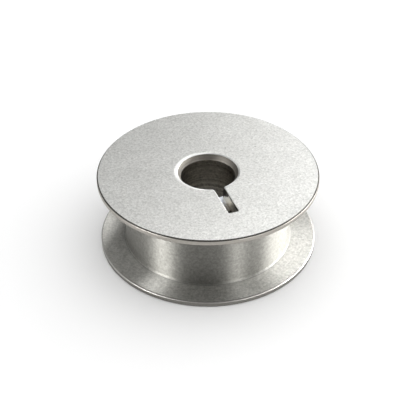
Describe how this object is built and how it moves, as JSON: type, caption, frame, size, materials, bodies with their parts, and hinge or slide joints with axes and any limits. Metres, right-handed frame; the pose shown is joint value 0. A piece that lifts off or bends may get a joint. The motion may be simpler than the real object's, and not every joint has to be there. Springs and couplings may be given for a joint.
{
  "type": "sewing machine bobbin",
  "caption": "Flat metal thread bobbin: thin round flanges on a wide hub, with a bevelled centre bore and a short driving slot in the top.",
  "frame": {"origin": "on the bore's axis, in the plane of the bottom flange's outer face", "axes": "+Z along the bore, towards the slotted flange; the slot runs out from the bore along -Y"},
  "size_m": [0.0252, 0.0252, 0.0093],
  "materials": {
    "aluminium": "satin: faces tumbled to a fine even grain, drum and bore left as turned"
  },
  "bodies": {
    "root": {"bobbin": "aluminium"}
  },
  "joints": []
}
